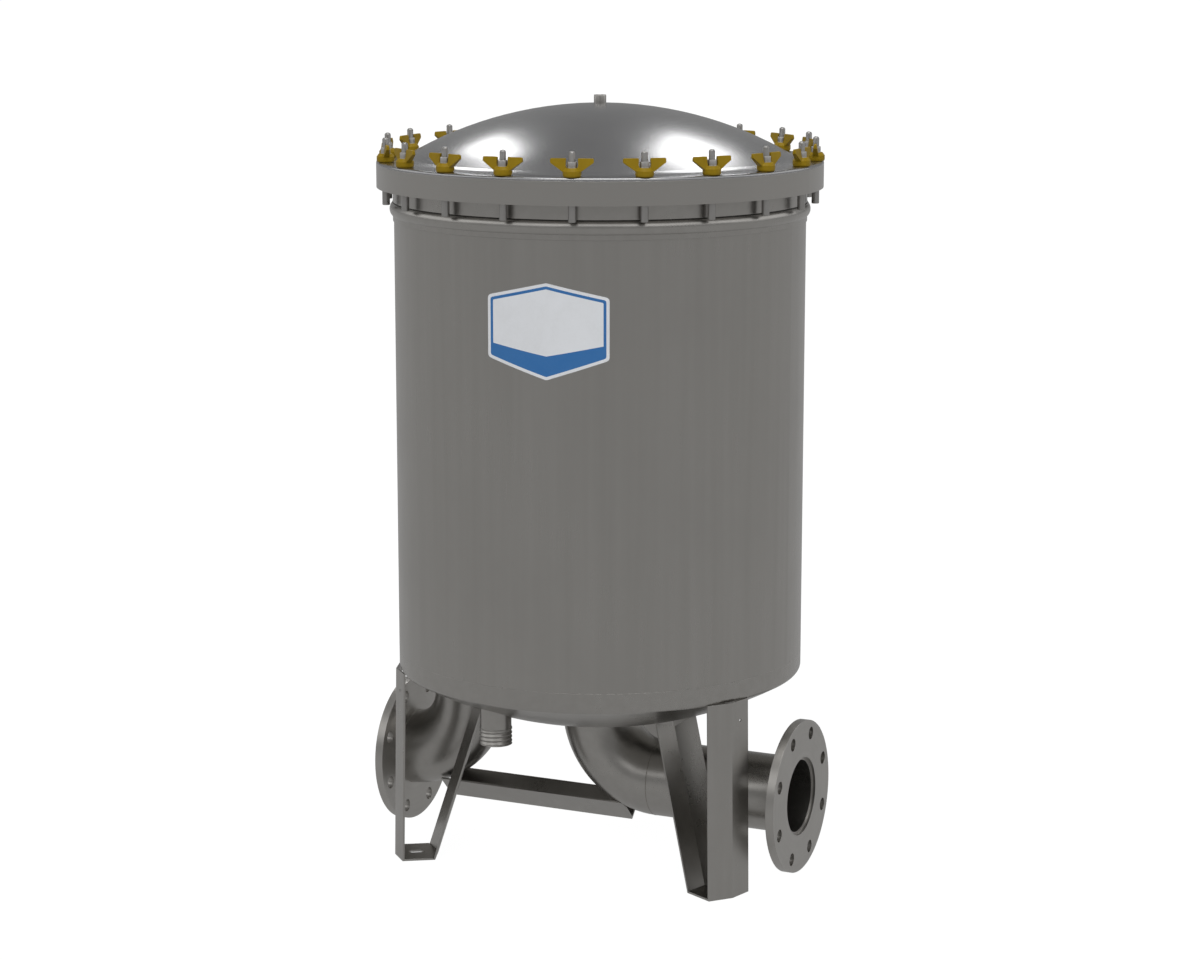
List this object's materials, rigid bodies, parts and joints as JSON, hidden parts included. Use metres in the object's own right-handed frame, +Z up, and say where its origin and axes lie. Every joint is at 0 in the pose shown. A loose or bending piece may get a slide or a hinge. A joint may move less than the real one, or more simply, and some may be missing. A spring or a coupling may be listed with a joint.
{
  "type": "cartridge filter",
  "caption": "Upright stainless cartridge filter housing on three folded legs, with a dished lid under wing nuts and flanged ports below.",
  "frame": {"origin": "on the floor, on the tank's axis", "axes": "+Z up along the tank's axis, +X along the level pipes towards the outlet flange"},
  "size_m": [0.662, 0.662, 1.151],
  "materials": {
    "satin_stainless": "satin",
    "polished_stainless": "polished",
    "sheet_stainless": "mill",
    "bright_steel": "bright",
    "yellow_metal": "semi-gloss",
    "black_rubber": "matte",
    "filter_media": "matte",
    "label_film": "gloss"
  },
  "bodies": {
    "vessel": {"cartridge_1": "filter_media", "cartridge_2": "filter_media", "cartridge_3": "filter_media", "cartridge_4": "filter_media", "cartridge_5": "filter_media", "cartridge_6": "filter_media", "closure_ring": "satin_stainless", "closure_studs": "bright_steel", "collector_brackets": "sheet_stainless", "collector_pan": "satin_stainless", "collector_seal": "black_rubber", "dished_bottom": "satin_stainless", "drain_nipple": "satin_stainless", "hold_down_plate": "sheet_stainless", "inlet_elbow": "satin_stainless", "inlet_flange": "satin_stainless", "inlet_riser": "satin_stainless", "label_plate": "label_film", "leg_1_foot_plate": "sheet_stainless", "leg_1_inner_plate": "sheet_stainless", "leg_1_outer_plate": "sheet_stainless", "leg_2_foot_plate": "sheet_stainless", "leg_2_inner_plate": "sheet_stainless", "leg_2_outer_plate": "sheet_stainless", "leg_3_foot_plate": "sheet_stainless", "leg_3_inner_plate": "sheet_stainless", "leg_3_outer_plate": "sheet_stainless", "lid_gasket": "black_rubber", "outlet_elbow": "satin_stainless", "outlet_flange": "satin_stainless", "outlet_pipe": "satin_stainless", "outlet_riser": "satin_stainless", "pipe_cradle": "sheet_stainless", "tank_collar": "satin_stainless", "tank_wall": "satin_stainless", "tie_rod": "bright_steel", "tube_sheet": "satin_stainless"},
    "lid": {"lid": "polished_stainless", "vent_coupling": "satin_stainless"},
    "knob": {"hold_down_knob": "bright_steel"},
    "wing_nut_01": {"wing_nut_01": "yellow_metal"},
    "wing_nut_02": {"wing_nut_02": "yellow_metal"},
    "wing_nut_03": {"wing_nut_03": "yellow_metal"},
    "wing_nut_04": {"wing_nut_04": "yellow_metal"},
    "wing_nut_05": {"wing_nut_05": "yellow_metal"},
    "wing_nut_06": {"wing_nut_06": "yellow_metal"},
    "wing_nut_07": {"wing_nut_07": "yellow_metal"},
    "wing_nut_08": {"wing_nut_08": "yellow_metal"},
    "wing_nut_09": {"wing_nut_09": "yellow_metal"},
    "wing_nut_10": {"wing_nut_10": "yellow_metal"},
    "wing_nut_11": {"wing_nut_11": "yellow_metal"},
    "wing_nut_12": {"wing_nut_12": "yellow_metal"},
    "wing_nut_13": {"wing_nut_13": "yellow_metal"},
    "wing_nut_14": {"wing_nut_14": "yellow_metal"},
    "wing_nut_15": {"wing_nut_15": "yellow_metal"},
    "wing_nut_16": {"wing_nut_16": "yellow_metal"},
    "wing_nut_17": {"wing_nut_17": "yellow_metal"},
    "wing_nut_18": {"wing_nut_18": "yellow_metal"},
    "wing_nut_19": {"wing_nut_19": "yellow_metal"},
    "wing_nut_20": {"wing_nut_20": "yellow_metal"}
  },
  "joints": [
    {"name": "lid_lift", "type": "slide", "parent": "vessel", "child": "lid", "axis": [0, 0, 1], "range_m": [0, 0.12]},
    {"name": "knob_spin", "type": "hinge", "parent": "vessel", "child": "knob", "pos_m": [0, 0, 1.04], "axis": [0, 0, 1], "continuous": true},
    {"name": "wing_nut_01_spin", "type": "hinge", "parent": "lid", "child": "wing_nut_01", "pos_m": [0.3182, 0, 1.07], "axis": [0, 0, 1], "continuous": true},
    {"name": "wing_nut_02_spin", "type": "hinge", "parent": "lid", "child": "wing_nut_02", "pos_m": [0.30263, 0.09833, 1.07], "axis": [0, 0, 1], "continuous": true},
    {"name": "wing_nut_03_spin", "type": "hinge", "parent": "lid", "child": "wing_nut_03", "pos_m": [0.25743, 0.18703, 1.07], "axis": [0, 0, 1], "continuous": true},
    {"name": "wing_nut_04_spin", "type": "hinge", "parent": "lid", "child": "wing_nut_04", "pos_m": [0.18703, 0.25743, 1.07], "axis": [0, 0, 1], "continuous": true},
    {"name": "wing_nut_05_spin", "type": "hinge", "parent": "lid", "child": "wing_nut_05", "pos_m": [0.09833, 0.30263, 1.07], "axis": [0, 0, 1], "continuous": true},
    {"name": "wing_nut_06_spin", "type": "hinge", "parent": "lid", "child": "wing_nut_06", "pos_m": [0, 0.3182, 1.07], "axis": [0, 0, 1], "continuous": true},
    {"name": "wing_nut_07_spin", "type": "hinge", "parent": "lid", "child": "wing_nut_07", "pos_m": [-0.09833, 0.30263, 1.07], "axis": [0, 0, 1], "continuous": true},
    {"name": "wing_nut_08_spin", "type": "hinge", "parent": "lid", "child": "wing_nut_08", "pos_m": [-0.18703, 0.25743, 1.07], "axis": [0, 0, 1], "continuous": true},
    {"name": "wing_nut_09_spin", "type": "hinge", "parent": "lid", "child": "wing_nut_09", "pos_m": [-0.25743, 0.18703, 1.07], "axis": [0, 0, 1], "continuous": true},
    {"name": "wing_nut_10_spin", "type": "hinge", "parent": "lid", "child": "wing_nut_10", "pos_m": [-0.30263, 0.09833, 1.07], "axis": [0, 0, 1], "continuous": true},
    {"name": "wing_nut_11_spin", "type": "hinge", "parent": "lid", "child": "wing_nut_11", "pos_m": [-0.3182, 0, 1.07], "axis": [0, 0, 1], "continuous": true},
    {"name": "wing_nut_12_spin", "type": "hinge", "parent": "lid", "child": "wing_nut_12", "pos_m": [-0.30263, -0.09833, 1.07], "axis": [0, 0, 1], "continuous": true},
    {"name": "wing_nut_13_spin", "type": "hinge", "parent": "lid", "child": "wing_nut_13", "pos_m": [-0.25743, -0.18703, 1.07], "axis": [0, 0, 1], "continuous": true},
    {"name": "wing_nut_14_spin", "type": "hinge", "parent": "lid", "child": "wing_nut_14", "pos_m": [-0.18703, -0.25743, 1.07], "axis": [0, 0, 1], "continuous": true},
    {"name": "wing_nut_15_spin", "type": "hinge", "parent": "lid", "child": "wing_nut_15", "pos_m": [-0.09833, -0.30263, 1.07], "axis": [0, 0, 1], "continuous": true},
    {"name": "wing_nut_16_spin", "type": "hinge", "parent": "lid", "child": "wing_nut_16", "pos_m": [0, -0.3182, 1.07], "axis": [0, 0, 1], "continuous": true},
    {"name": "wing_nut_17_spin", "type": "hinge", "parent": "lid", "child": "wing_nut_17", "pos_m": [0.09833, -0.30263, 1.07], "axis": [0, 0, 1], "continuous": true},
    {"name": "wing_nut_18_spin", "type": "hinge", "parent": "lid", "child": "wing_nut_18", "pos_m": [0.18703, -0.25743, 1.07], "axis": [0, 0, 1], "continuous": true},
    {"name": "wing_nut_19_spin", "type": "hinge", "parent": "lid", "child": "wing_nut_19", "pos_m": [0.25743, -0.18703, 1.07], "axis": [0, 0, 1], "continuous": true},
    {"name": "wing_nut_20_spin", "type": "hinge", "parent": "lid", "child": "wing_nut_20", "pos_m": [0.30263, -0.09833, 1.07], "axis": [0, 0, 1], "continuous": true}
  ]
}
